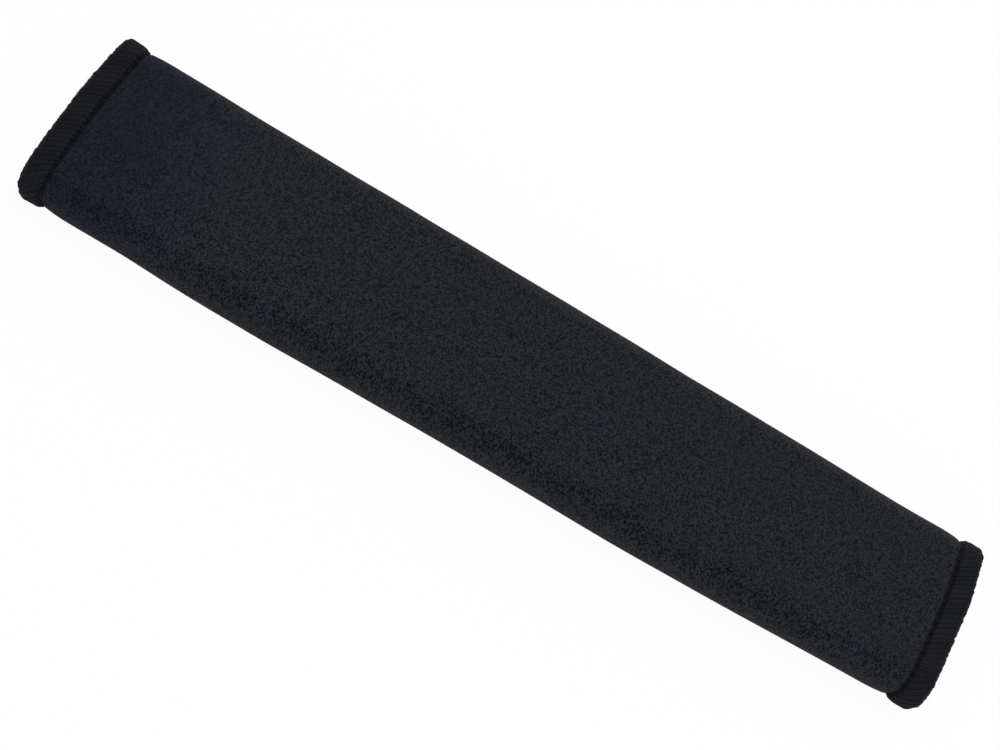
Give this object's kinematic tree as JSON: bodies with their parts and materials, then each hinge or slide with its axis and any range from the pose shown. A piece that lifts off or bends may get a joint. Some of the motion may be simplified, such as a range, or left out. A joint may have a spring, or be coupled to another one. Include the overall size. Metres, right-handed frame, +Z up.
{
  "type": "chainstay protector",
  "caption": "Tapered neoprene sleeve with overlocked ends and a hook and loop closure along its back, wrapped round a bicycle's chainstay to guard it from the chain.",
  "frame": {"origin": "under the middle of the sleeve, on the surface that it lies on", "axes": "+X along the sleeve from its wide end to its narrow end, +Y from the near fold to the far fold, +Z up from the closure side to the front"},
  "size_m": [0.25, 0.0532, 0.0129],
  "materials": {
    "neoprene": "matt knitted nylon face on foam",
    "overlock_thread": "matt textured polyester thread",
    "sewing_thread": "slightly glossy spun thread",
    "hook_tape": "black nylon hooks on a woven backing",
    "loop_tape": "black brushed nylon loops on a woven backing"
  },
  "bodies": {
    "root": {"neoprene_sheet": "neoprene", "wide_end_upper_looper_thread": "overlock_thread", "wide_end_lower_looper_thread": "overlock_thread", "wide_end_needle_thread": "sewing_thread", "narrow_end_upper_looper_thread": "overlock_thread", "narrow_end_lower_looper_thread": "overlock_thread", "narrow_end_needle_thread": "sewing_thread", "hook_tape": "hook_tape", "loop_tape": "loop_tape", "hook_tape_near_seam_needle_thread": "sewing_thread", "hook_tape_near_seam_bobbin_thread": "sewing_thread", "hook_tape_far_seam_needle_thread": "sewing_thread", "hook_tape_far_seam_bobbin_thread": "sewing_thread", "loop_tape_near_seam_needle_thread": "sewing_thread", "loop_tape_near_seam_bobbin_thread": "sewing_thread", "loop_tape_far_seam_needle_thread": "sewing_thread", "loop_tape_far_seam_bobbin_thread": "sewing_thread"}
  },
  "joints": []
}
